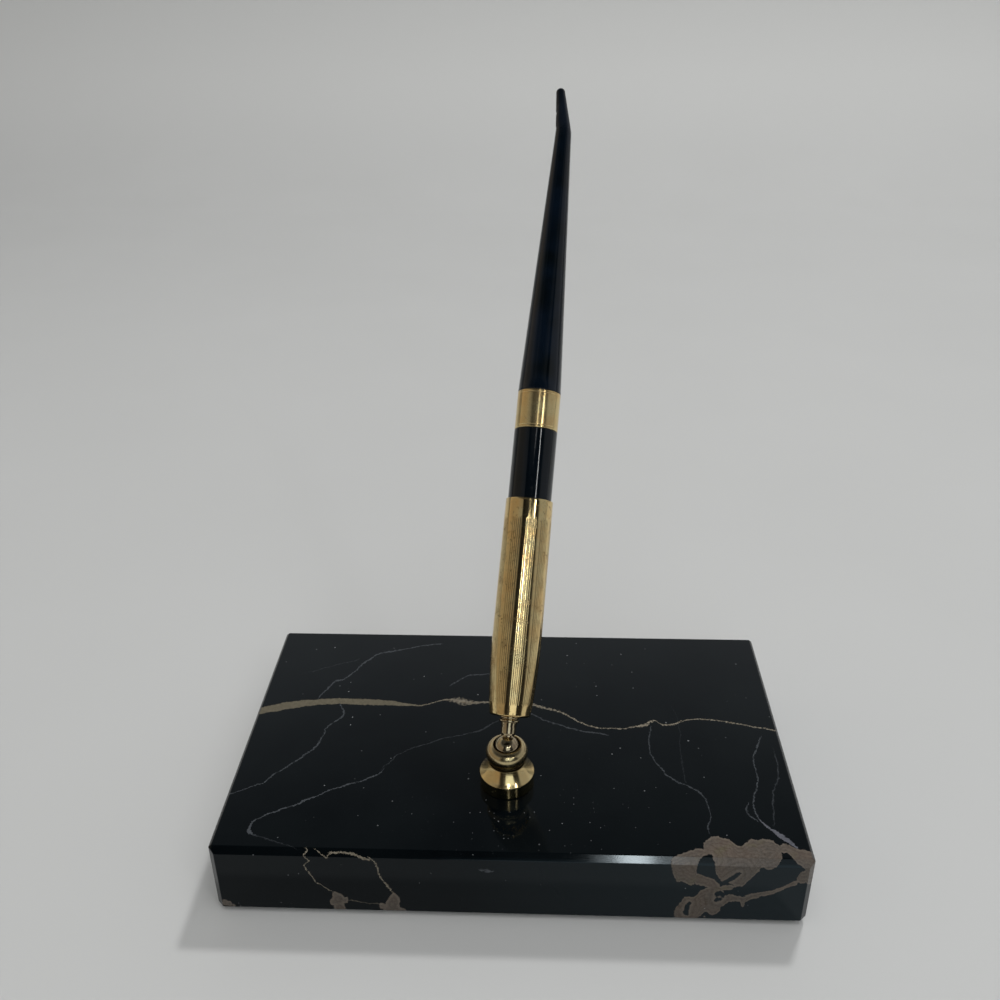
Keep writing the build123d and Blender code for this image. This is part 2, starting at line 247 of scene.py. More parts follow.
tan_threads = (
    ("run", 1.0, (
        (-12.5, -38, 0), (-11.5, -39.3, 0.25), (-9.5, -41.7, 0.25), (-6, -43.3, 0.2), (-4, -44.1, 0.25),
        (-2.5, -43, 0.25), (-1, -44, 0.25), (0.5, -43.2, 0.25), (1.5, -44, 0),
    )),
    ("x", 1.0, (
        (-42.5, 1.3, 0), (-41, 0.3, 0.25), (-39, -1.5, 0.35), (-38.7, -0.4, 0.45), (-37.5, 0, 0.4),
        (-34, -0.1, 0.45), (-32, -1, 0.6), (-30, -1.8, 0.5), (-29.7, -1.9, 0),
    )),
    ("run", 1.0, (
        (-12.5, -25.3, 0), (-11.5, -25.7, 0.3), (-7.5, -27.6, 0.25), (-2.5, -28.8, 0.3), (-1, -30, 0.2),
        (-0.8, -30.2, 0),
    )),
    ("x", 0.6, (
        (-35.5, -14.4, 0), (-34.5, -14.6, 0.25), (-31.5, -15.1, 0.15), (-28.2, -15.4, 0.2), (-27.5, -15.5, 0),
    )),
)
lilac_vein = ("run", 1.0, (
    (3.5, 62, 0), (5, 60.9, 0.6), (7, 59.4, 0.85), (9.5, 57.2, 0.5), (11.5, 55.6, 0.3), (13, 54.9, 0),
))
grey_veins = (
    ("x", 0.8, (
        (-51, 50.2, 0), (-50.4, 51.6, 0.6), (-48, 57.4, 0.55), (-45, 59.4, 0.35), (-42, 64.5, 0.5),
        (-38.5, 69.6, 0.4), (-30, 73, 0.25), (-21, 75.4, 0.3), (-20.3, 75.5, 0),
    )),
    ("x", 0.25, ((-60, 60.4, 0), (-52, 63.3, 0.2), (-43, 67.5, 0.2), (-42, 68, 0))),
    ("x", 1.0, ((-6.6, -4, 0), (-6, -4, 0.35), (-4.4, -4.3, 0.5), (-2.7, -4.4, 0))),
    ("x", 0.8, ((-17.5, 57.2, 0), (-16.8, 57.8, 0.3), (-12.8, 61.3, 0.3), (-8, 62.1, 0.25), (4, 64.5, 0))),
    ("x", 0.7, (
        (3, 47.6, 0), (4, 46.8, 0.3), (7.5, 44.2, 0.3), (14, 41.3, 0.25), (22.8, 39.2, 0.3), (23.6, 39.1, 0),
    )),
    ("run", 0.85, (
        (15.4, -66, 0.35), (20, -58.2, 0.3), (24, -54.8, 0.25), (31, -48.9, 0.3), (37, -46.7, 0.2),
        (40, -46.2, 0.2), (45, -43.1, 0.3), (49, -44.5, 0.2), (49.4, -44.6, 0),
    )),
    ("run", 0.3, ((0, -45, 0), (2, -48.2, 0.4), (4, -54.2, 0.6), (4.7, -56.4, 0))),
    ("run", 1.0, (
        (4.2, -55, 0), (4.7, -56.4, 0.55), (6.2, -57.2, 0.3), (9.5, -55.8, 0.3), (13.4, -49.3, 0.5),
        (16, -45.3, 0.4), (19, -40.6, 0.4), (21.3, -35.7, 0.45), (24, -31.4, 0.3), (27, -29.8, 0),
    )),
    ("run", 0.55, (
        (24, -31.4, 0), (28.5, -28.9, 0.2), (31.5, -26.5, 0.2), (34.5, -21.4, 0.35), (37, -16.3, 0.45),
        (39, -9.6, 0.45), (42.8, -4.9, 0.3), (44.4, -3.4, 0),
    )),
    ("run", 0.8, (
        (6.6, 44, 0), (9.5, 43.4, 0.2), (13, 44.5, 0.15), (18.4, 44, 0.25), (21, 42.2, 0.4),
        (22.7, 39.3, 0.4), (25, 36.4, 0.3), (33, 33, 0.2), (42.3, 33.8, 0.2), (43.2, 33.9, 0),
    )),
    ("run", 1.0, (
        (4, 61.6, 0), (5, 60.9, 0.5), (7.5, 59, 0.75), (9.6, 57.1, 0.4), (12.4, 55.1, 0.25), (17, 54.6, 0.2),
        (24, 56.9, 0.2), (32.5, 57.3, 0.2), (39, 60, 0.2), (40, 60.4, 0),
    )),
    ("run", 0.8, ((11.4, 54.7, 0), (12, 54.2, 0.3), (14.4, 52.6, 0.25), (17, 53.4, 0.2), (18, 53.5, 0))),
    ("run", 0.5, (
        (9.6, 58, 0), (11, 58.2, 0.2), (21, 59.7, 0.2), (24, 61.4, 0.2), (31, 62.6, 0.2), (37.4, 62.2, 0),
    )),
    ("run", 0.2, ((22.6, 40.1, 0), (23.4, 40.1, 0.2), (36, 40.4, 0.15), (44.4, 40.9, 0.15), (57, 38.6, 0))),
)

# Lobes of the large tan patch at the front right, as rows of x, run and half height: the cloud, its right
# arm, a knot, the lower arm, the ring on the left, the ring's foot and the mass below it
tan_patch = (
    (
        (41.7, 4.1, 0), (42, 4, 1.4), (43.5, 4, 2.8), (44, 2, 5.1), (45.5, 0.7, 6.5), (47.5, -0.1, 6.4),
        (49, -1.4, 5.9), (50.3, -0.9, 6), (52, 1, 5.4), (53.5, 2.2, 4), (55, 2.2, 4.5), (57, 2.6, 3.4),
        (58, 3.4, 1.6), (58.4, 4.3, 0),
    ),
    (
        (58, 4.1, 0), (58.2, 3.9, 1.2), (59.5, 3.9, 1.5), (60.8, 2.3, 2.2), (62.6, 1, 2.9), (63.2, -1, 4.9),
        (65.5, -1.5, 4.4),
    ),
    ((61.1, -4.6, 0), (61.7, -4.2, 1.7), (63, -3.9, 2.1), (63.3, -4, 0)),
    (
        (45.7, -12.3, 0), (46.1, -12.3, 1.4), (47.5, -11.1, 1.4), (50, -11.2, 1), (50.6, -11.9, 1.7),
        (51.2, -10.8, 1.2), (54, -9.6, 0.9), (57.3, -8.5, 0.75), (59.5, -7, 0.7), (61.5, -5.6, 0.75),
        (62, -5.4, 0),
    ),
    (
        (34.4, -1.1, 0), (34.8, -1.2, 1.8), (36, -2.3, 3.8), (37.5, -2, 4.4), (39.8, -1.8, 5.3),
        (40.1, 1.3, 2.3), (41.5, 2.5, 1.1), (42.4, 2.5, 0.85), (43.7, 2, 0),
    ),
    (
        (39.7, -5.5, 0), (40, -5.3, 1.8), (42, -6, 1.6), (44, -7, 1.6), (45.8, -7.8, 0.9), (47.5, -7.6, 1),
        (48, -7.4, 0.6), (49.4, -6.9, 0),
    ),
    (
        (36.2, -16.3, 0), (36.5, -16.5, 2.5), (38, -15, 4), (40, -14.7, 4.2), (41, -13.6, 4.5),
        (43, -11.5, 3.9), (44.5, -11.9, 4.5), (46, -11.3, 3.4), (46.7, -10.7, 0),
    ),
)

# Small tan patches of the stone, and the holes in the large one: x, run and radius of each disc. The slit is
# a row of discs along a line, and widest half way.
tan_lobes = (
    (42.3, -17.7, 0.3), (42.8, -16.9, 0.3),
    (-63, -16.2, 0.9), (-62, -16.5, 0.8), (-61, -17, 0.5),
    (-38.2, -12.8, 0.8), (-37.5, -14.2, 1.5), (-36, -14.4, 0.9), (-38.6, -15.2, 1), (-37.4, -16.8, 1.4),
    (-37.2, -18.5, 1.2),
    (-25.2, -12.6, 0.7), (-25.1, -14.1, 1.4), (-25.6, -15.6, 1.7), (-28, -16, 0.8), (-26.6, -17.7, 1.4),
    (-25.1, -17.9, 1.8), (-23.4, -17.8, 1),
)
slit_share = np.linspace(0, 1, 9)
slit_ends = np.array([(45.7, -6.8, 0.25), (49.2, -3.2, 0.2)])
slit_swell = 0.6
dark_slit = slit_ends[0] + np.outer(slit_share, slit_ends[1] - slit_ends[0])
dark_slit[:, 2] += slit_swell * slit_share * (1 - slit_share)
dark_holes = (
    *dark_slit.tolist(),
    (44.9, -9.7, 0.5), (45.6, -9.5, 0.4), (46.2, -10.3, 0.35), (45, -11.4, 0.4), (45.7, -11.5, 0.25),
    (38.9, -14.2, 0.5), (38.7, -15.6, 0.5), (39.2, -12.9, 0.35), (43, 1.2, 0.4),
)
lobe_squash = 0.73
lobe_blend = 0.5

# How far the veins' lines are moved by slow, quick and fine noise, and on the sides and back, in x and in run
vein_sway = 0.9
vein_shake = 0.7
vein_jag = 0.6
side_stray = (12.0, 24.0)

# How far noise draws in the patches' edges
patch_lump = 0.4

# Camera, in millimetres and degrees, and its focal length as a share of the frame's width
camera_place = (5.889, -197.808, 190.047)
camera_yaw = -2.488
camera_dip = 28.2802
camera_roll = 0.6063
camera_focal_share = 1.036
sensor = 36.0

pen_axis = np.array([
    math.sin(lean) * math.sin(heading),
    math.sin(lean) * math.cos(heading),
    math.cos(lean),
])
tilt_axis = np.array([math.cos(heading), -math.sin(heading), 0.0])
ball_center = np.array([*swivel_place, slab_top + ball_height])
upright = (0, 0, 1)
upright_frame = (np.array([*swivel_place, slab_top]), np.eye(3))
pen_frame = (ball_center, np.array([tilt_axis, np.cross(pen_axis, tilt_axis), pen_axis]))


def math_node(operation, swapped=False):
    """Method that adds a Math node of a wire and another value, the other one first if swapped."""

    def method(self, other=0.0):
        first, second = (other, self) if swapped else (self, other)
        return self.graph.node("Math", {"operation": operation}, {0: first, 1: second})

    return method


class Wire:
    """One output of a node. An expression of wires and numbers adds its Math nodes."""

    def __init__(self, graph, socket):
        self.graph = graph
        self.socket = socket

    __add__ = math_node("ADD")
    __radd__ = math_node("ADD", True)
    __sub__ = math_node("SUBTRACT")
    __rsub__ = math_node("SUBTRACT", True)
    __mul__ = math_node("MULTIPLY")
    __rmul__ = math_node("MULTIPLY", True)
    __truediv__ = math_node("DIVIDE")
    __pow__ = math_node("POWER")
    __abs__ = math_node("ABSOLUTE")
    least = math_node("MINIMUM")
    most = math_node("MAXIMUM")


class Graph:
    """The nodes of a material or of the room."""

    def __init__(self, tree):
        self.tree = tree

    def node(self, kind, settings=None, inputs=None, output=0):
        """Adds a node, sets its settings, then links or sets its sockets, and returns one output.

        A ramp's stops are joined by a smooth curve through them.
        """
        made = self.tree.nodes.new("ShaderNode" + kind)
        for key, value in (settings or {}).items():
            if key == "stops":
                made.color_ramp.interpolation = "CARDINAL"
                ramp = made.color_ramp.elements
                for at, color in value[1:-1]:
                    ramp.new(at).color = color
                ramp[0].color = value[0][1]
                ramp[len(value) - 1].color = value[-1][1]
            else:
                setattr(made, key, value)
        for key, value in (inputs or {}).items():
            self.feed(made.inputs[key], value)
        return Wire(self, made.outputs[output])

    def feed(self, socket, value):
        if isinstance(value, Wire):
            self.tree.links.new(value.socket, socket)
        else:
            socket.default_value = value

    def rise(self, value, low, high):
        """0 where value is at low, 1 where it is at high, and a smooth step between."""
        sockets = {"Value": value, "From Min": low, "From Max": high}
        return self.node("MapRange", {"interpolation_type": "SMOOTHSTEP"}, sockets)

    def blend(self, share, first, second):
        """Colour that goes from first to second as share goes from 0 to 1."""
        return self.node("Mix", {"data_type": "RGBA"}, {0: share, 6: first, 7: second}, 2)

    def axes(self, vector):
        """The three parts of a vector."""
        parts = self.tree.nodes.new("ShaderNodeSeparateXYZ")
        self.tree.links.new(vector.socket, parts.inputs[0])
        return [Wire(self, output) for output in parts.outputs]


class Finish(Graph):
    """A material, and the nodes that vary it over a surface."""

    def __init__(self, name, **constants):
        self.material = bpy.data.materials.new(name)
        self.material.use_nodes = True
        super().__init__(self.material.node_tree)
        self.shader = self.tree.nodes["Principled BSDF"]
        for socket, value in constants.items():
            self.shader.inputs[socket.replace("_", " ")].default_value = value
        self.place = self.node("TexCoord", output="Object")
        self.spot = self.node("VectorMath", {"operation": "SCALE"}, {0: self.place, "Scale": 1 / MM})

    def noise(self, scale, detail=3.0, output="Fac", rough=0.55):
        """Noise of a given number of features a millimetre."""
        sockets = {"Vector": self.spot, "Scale": scale, "Detail": detail, "Roughness": rough}
        return self.node("TexNoise", {}, sockets, output)

    def mark(self, name):
        """A value that the mesh carries at its points."""
        return self.node("Attribute", {"attribute_name": name}, output="Fac")

    def along(self, axis):
        """Distance along an axis through the origin, in millimetres."""
        return self.node("VectorMath", {"operation": "DOT_PRODUCT"}, {0: self.spot, 1: tuple(axis)}, "Value")

    def rings(self, axis, scale):
        """Turning marks: noise that changes only along an axis, of so many features a millimetre."""
        sockets = {"W": self.along(axis), "Scale": scale, "Detail": 4.0}
        return self.node("TexNoise", {"noise_dimensions": "1D"}, sockets)

    def bump(self, height, distance):
        """Normal of a surface raised by height times a distance in millimetres."""
        return self.node("Bump", {}, {"Height": height, "Distance": distance * MM, "Strength": 1.0})

    def shade(self, **inputs):
        """Links varying values to the shader's sockets and returns the material."""
        for socket, value in inputs.items():
            self.feed(self.shader.inputs[socket.replace("_", " ")], value)
        return self.material


def color(red, green, blue):
    return (red, green, blue, 1.0)


def vein_depth(stone, along, across, rows, swell=1.0):
    """How far inside a vein's edge a place lies, in millimetres across it.

    One ramp holds the vein's line and half width at each place along it. The half width is taken times swell.
    """
    start, end = rows[0][0], rows[-1][0]
    low = min(row[1] for row in rows)
    span = max(row[1] for row in rows) - low + 1e-6
    widest = max(row[2] for row in rows)
    stops = [
        ((at - start) / (end - start), ((line - low) / span, half / widest, 0, 1))
        for at, line, half in rows
    ]
    share = (along - start) / (end - start)
    line, half, _ = stone.axes(stone.node("ValToRGB", {"stops": stops}, {"Fac": share}))
    return half * widest * swell - abs(across - (line * span + low))


def disc_field(stone, flat, discs):
    """Least distance from the edges of the discs, below zero inside, with the discs run together."""
    field = None
    for x, run, radius in discs:
        center = (x, run * lobe_squash, 0)
        edge = stone.node("VectorMath", {"operation": "DISTANCE"}, {0: flat, 1: center}, "Value") - radius
        if field is None:
            field = edge
        else:
            field = stone.node("Math", {"operation": "SMOOTH_MIN"}, {0: field, 1: edge, 2: lobe_blend})
    return field


def black_marble():
    """Polished black stone with a tan band, gold threads, grey veins, lobed tan patches and pale flecks."""
    stone = Finish("black_marble", IOR=1.26, Specular_Tint=color(0.82, 0.94, 1.0))
    x, y, z = stone.axes(stone.spot)
    run = y + z + (slab_depth / 2 - slab_top)
    sway = stone.axes(stone.noise(0.33, 2.0, output="Color"))
    shake = stone.axes(stone.noise(1.7, 3.0, output="Color"))
    jag = stone.axes(stone.noise(4.0, 3.0, output="Color"))
    drift = [
        (sway[i] - 0.5) * vein_sway + (shake[i] - 0.5) * vein_shake + (jag[i] - 0.5) * vein_jag
        for i in (0, 1)
    ]
    x_drawn = x + drift[0]
    run_drawn = run + drift[1]
    half_width, half_depth = slab_width / 2, slab_depth / 2
    on_side = stone.rise(abs(x), half_width - 0.1, half_width - 0.02)
    on_back = stone.rise(y, half_depth - 0.1, half_depth - 0.02)
    from_edge = stone.rise(slab_top - z, 0.5, 9.0) * stone.rise(y, 1.5 - half_depth, 9.0 - half_depth)
    wander = stone.axes(stone.noise(0.10, 3.0, output="Color"))
    strayed = on_side.most(on_back) * from_edge
    x_drawn = x_drawn + (wander[0] - 0.5) * strayed * side_stray[0]
    run_drawn = run_drawn + (wander[1] - 0.5) * strayed * side_stray[1]

    def mask(veins, swell):
        total = 0.0
        for runs, strength, rows in veins:
            pair = (x_drawn, run_drawn) if runs == "x" else (run_drawn, x_drawn)
            inside = vein_depth(stone, *pair, rows, swell)
            total = (stone.rise(inside, 0.0, 0.12) * strength).most(total)
        return total

    flat = stone.node("CombineXYZ", {}, {"X": x_drawn, "Y": run_drawn * lobe_squash})
    patch_depth = -1 * disc_field(stone, flat, tan_lobes)
    for rows in tan_patch:
        patch_depth = patch_depth.most(vein_depth(stone, x_drawn, run_drawn, rows))
    patch_depth = patch_depth.least(disc_field(stone, flat, dark_holes))
    lumps = 0.75 - stone.noise(0.8, 2.0)
    patch_depth = patch_depth - lumps * patch_lump
    patch = stone.rise(patch_depth, -0.03, 0.09)
    rim = stone.rise(abs(patch_depth - 0.25), 0.28, 0.02) * patch
    ripple = stone.node("Math", {"operation": "SINE"}, {0: patch_depth * 6.0 + shake[2] * 5.0})
    beads = 0.25 + stone.rise(stone.noise(1.9, 4.0, rough=0.7), 0.34, 0.66) * 1.15
    band_end = stone.rise(x, -28.0, -18.0)
    band = mask([tan_band], 1 + band_end * (beads - 1))
    thread = mask(tan_threads, 0.2 + beads * 0.7)
    grey = mask(grey_veins, 0.4 + beads * 0.6) * stone.rise(stone.noise(0.9), 0.2, 0.5)
    lilac = mask([lilac_vein], 1.0) * stone.rise(stone.noise(1.4, 4.0), 0.22, 0.5)

    cloud = stone.rise(stone.noise(0.03, 4.0), 0.3, 0.7)
    black = stone.blend(cloud, color(0.0008, 0.0016, 0.0024), color(0.0028, 0.0042, 0.0050))
    # Painted light: the front face is painted paler towards the right, where the soft light falls
    front_lit_right = stone.rise(y, 0.6 - slab_depth / 2, 0.1 - slab_depth / 2) * stone.rise(x, -30.0, 62.0)
    black = stone.blend(front_lit_right, black, color(0.0085, 0.0140, 0.0172))
    grain = stone.noise(1.7, 6.0, rough=0.85)
    fine = stone.rise(grain, 0.38, 0.64)
    warm = stone.rise(stone.noise(0.14, 3.0), 0.35, 0.65)
    mossy = stone.rise(stone.noise(0.21, 2.0), 0.56, 0.72)
    stain = stone.rise(stone.noise(0.5, 4.0), 0.55, 0.75)
    patch_tone = stone.blend(warm, color(0.096, 0.074, 0.060), color(0.078, 0.068, 0.060))
    patch_tone = stone.blend(mossy * 0.8, patch_tone, color(0.094, 0.084, 0.050))
    patch_tone = stone.blend(fine * 0.75, patch_tone, color(0.140, 0.117, 0.094))
    patch_tone = stone.blend(stone.rise(ripple, 0.2, 1.0) * 0.35, patch_tone, color(0.046, 0.034, 0.026))
    patch_tone = stone.blend(rim * 0.5, patch_tone, color(0.160, 0.134, 0.108))
    patch_tone = stone.blend(stain * 0.5, patch_tone, color(0.046, 0.034, 0.022))
    band_tone = stone.blend(fine * 0.7, color(0.096, 0.084, 0.056), color(0.165, 0.142, 0.100))
    thread_tone = stone.blend(fine, color(0.120, 0.102, 0.076), color(0.270, 0.240, 0.185))
    thread_tone = stone.blend(stain * 0.6, thread_tone, color(0.120, 0.078, 0.036))
    band_tone = stone.blend(band_end, band_tone, thread_tone)
    tone = stone.blend(grey * 0.9, black, color(0.066, 0.072, 0.080))
    tone = stone.blend(lilac * 0.9, tone, color(0.118, 0.120, 0.140))
    tone = stone.blend(patch, tone, patch_tone)
    tone = stone.blend(band, tone, band_tone)
    tone = stone.blend(thread, tone, thread_tone)

    cells = {"Vector": stone.spot, "Scale": 0.42}
    chosen = stone.axes(stone.node("TexVoronoi", {}, cells, "Color"))
    speck = stone.node("TexVoronoi", {}, cells, "Distance") - chosen[1] * 0.05
    fleck = stone.rise(speck, 0.06, 0.02) * stone.rise(chosen[0], 0.6, 0.98)
    grit = {"Vector": stone.spot, "Scale": 0.9}
    picked = stone.axes(stone.node("TexVoronoi", {}, grit, "Color"))
    near_foot = stone.rise(abs(x - 6.0), 34.0, 10.0) * stone.rise(abs(y + 28.0), 13.0, 5.0)
    grain_size = stone.node("TexVoronoi", {}, grit, "Distance")
    dust = stone.rise(grain_size, 0.13, 0.06) * stone.rise(picked[0], 0.66, 0.94)
    fleck = fleck.most(dust * near_foot * 0.8)
    tone = stone.blend(fleck * 0.85, tone, color(0.26, 0.27, 0.28))
    # Painted sheen: the side chamfers are painted paler and rougher so that they show as a bright line along
    # the edge
    side_chamfer = slab_width / 2 + slab_top - slab_chamfer
    chamfer_sheen = stone.rise(abs(x) + z, side_chamfer - 0.2, side_chamfer - 0.02) * (0.4 + fine * 0.6)
    tone = stone.blend(chamfer_sheen, tone, color(0.050, 0.050, 0.050))
    haze = stone.noise(0.09, 4.0)
    tan = patch.most(band).most(thread)
    gloss = 0.035 + haze * 0.05 + tan * 0.12 + fleck * 0.3 + chamfer_sheen * 0.25
    return stone.shade(Base_Color=tone, Roughness=gloss, Normal=stone.bump(tan * -0.4 + grain * 0.1, 0.01))


def gold_plate(name, axis, tones, gloss, tarnish, rings, panels=False, crevice=None, hollow=None):
    """Gold plate with polishing rings across its axis, warm patches and brown tarnish.

    tones are its bright, warm and tarnished colours, and the last also serves as painted shade. On the sleeve
    the mesh marks the engraved panels, which are duller, and the depth of their lines, which hold the
    tarnish.
    On an upright piece painted shade also darkens a crevice, given as a lowest and a highest height, or a
    hollow, given as a radius about the swivel.
    """
    bright, warm_tone, dark_tone = tones
    gold = Finish(name, Metallic=1.0)
    ring = gold.rings(axis, 7.0)
    warm = gold.rise(gold.noise(0.22, 3.0), 0.35, 0.7)
    spots = gold.rise(gold.noise(1.5, 4.0, rough=0.7), 0.57, 0.62)
    smear = gold.rise(gold.noise(0.35, 4.0), 0.42, 0.7)
    dark = spots * (0.35 + smear * 0.65) * tarnish
    if panels:
        worn = gold.rise(gold.noise(0.8, 5.0, rough=0.8), 0.36, 0.64)
        panel = gold.mark("panel")
        dark = dark.most(gold.mark("line_depth") * (0.55 + worn * 0.4)).most(panel * smear * 0.3)
        gloss = gloss + panel * 0.05
    if crevice is not None:
        height = gold.along(upright)
        low, high = crevice
        # Painted shade: the crevice between the given heights is painted near the dark tone
        dark = dark.most(gold.rise(height, low - 0.2, low) * gold.rise(height, high + 0.2, high) * 0.92)
    if hollow is not None:
        offset = gold.node("VectorMath", {"operation": "SUBTRACT"}, {0: gold.spot, 1: (*swivel_place, 0)})
        level = gold.node("VectorMath", {"operation": "MULTIPLY"}, {0: offset, 1: (1, 1, 0)})
        radius = gold.node("VectorMath", {"operation": "LENGTH"}, {0: level}, "Value")
        # Painted shadow: the hollow inside the given radius is painted near the dark tone
        dark = dark.most(gold.rise(radius, hollow + 0.12, hollow) * 0.97)
    tone = gold.blend(warm, bright, warm_tone)
    tone = gold.blend(dark, tone, dark_tone)
    rough = ring * 0.08 * rings + smear * 0.05 + dark * 0.35 + gloss
    return gold.shade(Base_Color=tone, Roughness=rough, Normal=gold.bump(ring, 0.003 * rings))


def black_resin(name, blue=0.4, wear=0.0):
    """Polished black resin with a faint blue cast, fine rubbing along the pen and a worn end."""
    resin = Finish(name, IOR=1.42)
    along = resin.along(pen_axis)
    rub = resin.noise(1.2, 4.0)
    cast = resin.rise(resin.noise(0.10, 2.0), 0.3, 0.7) * blue
    tone = resin.blend(cast, color(0.0012, 0.0026, 0.0032), color(0.0028, 0.0062, 0.0125))
    dust = resin.rise(resin.noise(5.0, 3.0, rough=0.8), 0.66, 0.8)
    tone = resin.blend(dust * 0.25, tone, color(0.05, 0.052, 0.055))
    start = float(ball_center @ pen_axis) + tail_kink
    bitten = resin.rise(along, start - 4, start + 3) * wear
    gloss = 0.05 + resin.rise(rub, 0.4, 0.8) * 0.07 + bitten * 0.28 + dust * 0.1
    height = rub * 0.2 + bitten * resin.noise(1.6, 3.0)
    return resin.shade(Base_Color=tone, Roughness=gloss, Normal=resin.bump(height, 0.03))


def plain_metal(name, bright, dull, gloss, axis):
    """Turned or plated metal: fine rings across its axis, and duller patches."""
    metal = Finish(name, Metallic=1.0)
    ring = metal.rings(axis, 9.0)
    patch = metal.rise(metal.noise(0.6, 4.0), 0.4, 0.7)
    tone = metal.blend(patch, bright, dull)
    rough = gloss + ring * 0.15 + patch * 0.1
    return metal.shade(Base_Color=tone, Roughness=rough, Normal=metal.bump(ring, 0.01))


def moulded(name, light, deep, gloss, grain):
    """Moulded plastic or rubber: a fine even grain and slight cloudiness."""
    mould = Finish(name)
    cloud = mould.noise(0.25, 3.0)
    pits = mould.noise(grain, 3.0)
    tone = mould.blend(cloud, deep, light)
    return mould.shade(Base_Color=tone, Roughness=gloss + pits * 0.12, Normal=mould.bump(pits, 0.02))


def felt_cloth():
    """Dark felt: matted fibres of two greens, with a soft nap."""
    felt = Finish("felt_cloth", Roughness=0.95, Sheen_Weight=0.25)
    fibres = felt.noise(4.0, 5.0, rough=0.8)
    mats = felt.noise(0.7, 3.0)
    tone = felt.blend(fibres, color(0.010, 0.016, 0.013), color(0.042, 0.060, 0.050))
    tone = felt.blend(mats * 0.4, tone, color(0.020, 0.026, 0.022))
    return felt.shade(Base_Color=tone, Normal=felt.bump(fibres, 0.25))


def eased(corners, radius, closed, steps=5):
    """An outline with its corners rounded.

    Each corner P becomes the curve (1-t)^2 A + 2t(1-t) P + t^2 B, where A and B lie on the sides that
    meet there, radius away from P or less on a short side. A point just outside A and B on each side
    keeps the shading of the sides flat. The ends of an open outline stay as they are.
    """
    points = np.asarray(corners, float)
    radii = np.broadcast_to(np.asarray(radius, float), len(points)).copy()
    if not closed:
        radii[[0, -1]] = 0.0
    sides = []
    for neighbour in (np.roll(points, 1, 0), np.roll(points, -1, 0)):
        reach = neighbour - points
        length = np.linalg.norm(reach, axis=1, keepdims=True)
        cut = np.minimum(radii[:, None], 0.3 * length)
        sides.append((points + reach / length * cut * 1.5, points + reach / length * cut))
    t = np.linspace(0, 1, steps)[:, None, None]
    curve = (1 - t) ** 2 * sides[0][1] + 2 * t * (1 - t) * points + t**2 * sides[1][1]
    outline = np.concatenate([sides[0][0][None], curve, sides[1][0][None]]).transpose(1, 0, 2).reshape(-1, 2)
    step = np.linalg.norm(np.diff(outline, axis=0), axis=1)
    return outline[np.concatenate([[True], step > 1e-7])]


def turned(outline, angles):
    """Points of an outline of rows (radius, height) turned about Z: (r cos a, r sin a, h)."""
    radius, height = np.asarray(outline, float).T
    return np.stack(
        [
            np.outer(radius, np.cos(angles)),
            np.outer(radius, np.sin(angles)),
            np.repeat(height[:, None], len(angles), 1),
        ],
        axis=-1,
    )


def round_angles(count):
    return np.arange(count) * 2 * math.pi / count


def arc(center, halves, angles):
    """Points of a circle or an ellipse at the given angles: center + halves * (cos, sin)."""
    return np.asarray(center) + np.asarray(halves) * np.stack([np.cos(angles), np.sin(angles)], 1)


def added(name, data):
    """Object of a mesh, a lamp or a camera, added to the scene."""
    made = bpy.data.objects.new(name, data)
    bpy.context.scene.collection.objects.link(made)
    return made


def pose(made, axes, place):
    """Sets an object's three axes and its place, in metres."""
    turn = np.eye(4)
    turn[:3, :3] = np.stack(axes, 1)
    turn[:3, 3] = place
    made.matrix_world = Matrix(turn.tolist())


def surface(name, grid, place, closed, material, smooth=50.0, marks=None):
    """Mesh of a grid of points that closes round its columns, and round its rows too if closed.

    A row whose points all coincide becomes one point. place is an origin and three axes that carry the
    grid to the slab's frame.
    """
    rows, columns, _ = grid.shape
    index = np.arange(rows * columns).reshape(rows, columns)
    poles = np.ptp(grid, axis=1).max(axis=1) < 1e-9
    index[poles] = index[poles][:, :1]
    lower = index if closed else index[:-1]
    upper = np.roll(index, -1, 0) if closed else index[1:]
    corners = [lower, np.roll(lower, -1, 1), np.roll(upper, -1, 1), upper]
    a, b, c, d = (corner.ravel() for corner in corners)
    faces = np.concatenate([np.stack([a, b, c], 1), np.stack([a, c, d], 1)])
    whole = (faces[:, 0] != faces[:, 1]) & (faces[:, 1] != faces[:, 2]) & (faces[:, 2] != faces[:, 0])
    used, faces = np.unique(faces[whole], return_inverse=True)
    faces = faces.reshape(-1, 3)
    origin, axes = place
    points = (grid.reshape(-1, 3)[used] @ axes + origin) * MM
    tips = points[faces]
    volume = np.einsum("ij,ij->i", tips[:, 0], np.cross(tips[:, 1], tips[:, 2])).sum()
    if volume < 0:
        faces = faces[:, ::-1]
    mesh = bpy.data.meshes.new(name)
    mesh.from_pydata(points.tolist(), [], faces.tolist())
    mesh.shade_smooth()
    mesh.set_sharp_from_angle(angle=math.radians(smooth))
    if marks is not None:
        for attribute, values in marks.items():
            layer = mesh.attributes.new(attribute, "FLOAT", "POINT")
            layer.data.foreach_set("value", values.ravel()[used].astype(np.float32))
    mesh.materials.append(material)
    return added(name, mesh)


def sleeve_radius(height, inset=0.0):
    """Radius of the sleeve's outline drawn in by inset: an arc up to the widest place, then a line."""
    narrowing = sleeve_max_radius - sleeve_bottom_radius
    taper = sleeve_widest - sleeve_bottom
    arc = (narrowing**2 + taper**2) / (2 * narrowing)
    below = np.clip(sleeve_widest - height, 0, None)
    lower = sleeve_max_radius - arc + np.sqrt((arc - inset) ** 2 - below**2)
    share = np.clip((height - sleeve_widest) / (sleeve_rim - sleeve_widest), 0, 1)
    upper = sleeve_max_radius - inset + share * (sleeve_rim_radius - sleeve_max_radius)
    return np.where(height < sleeve_widest, lower, upper)


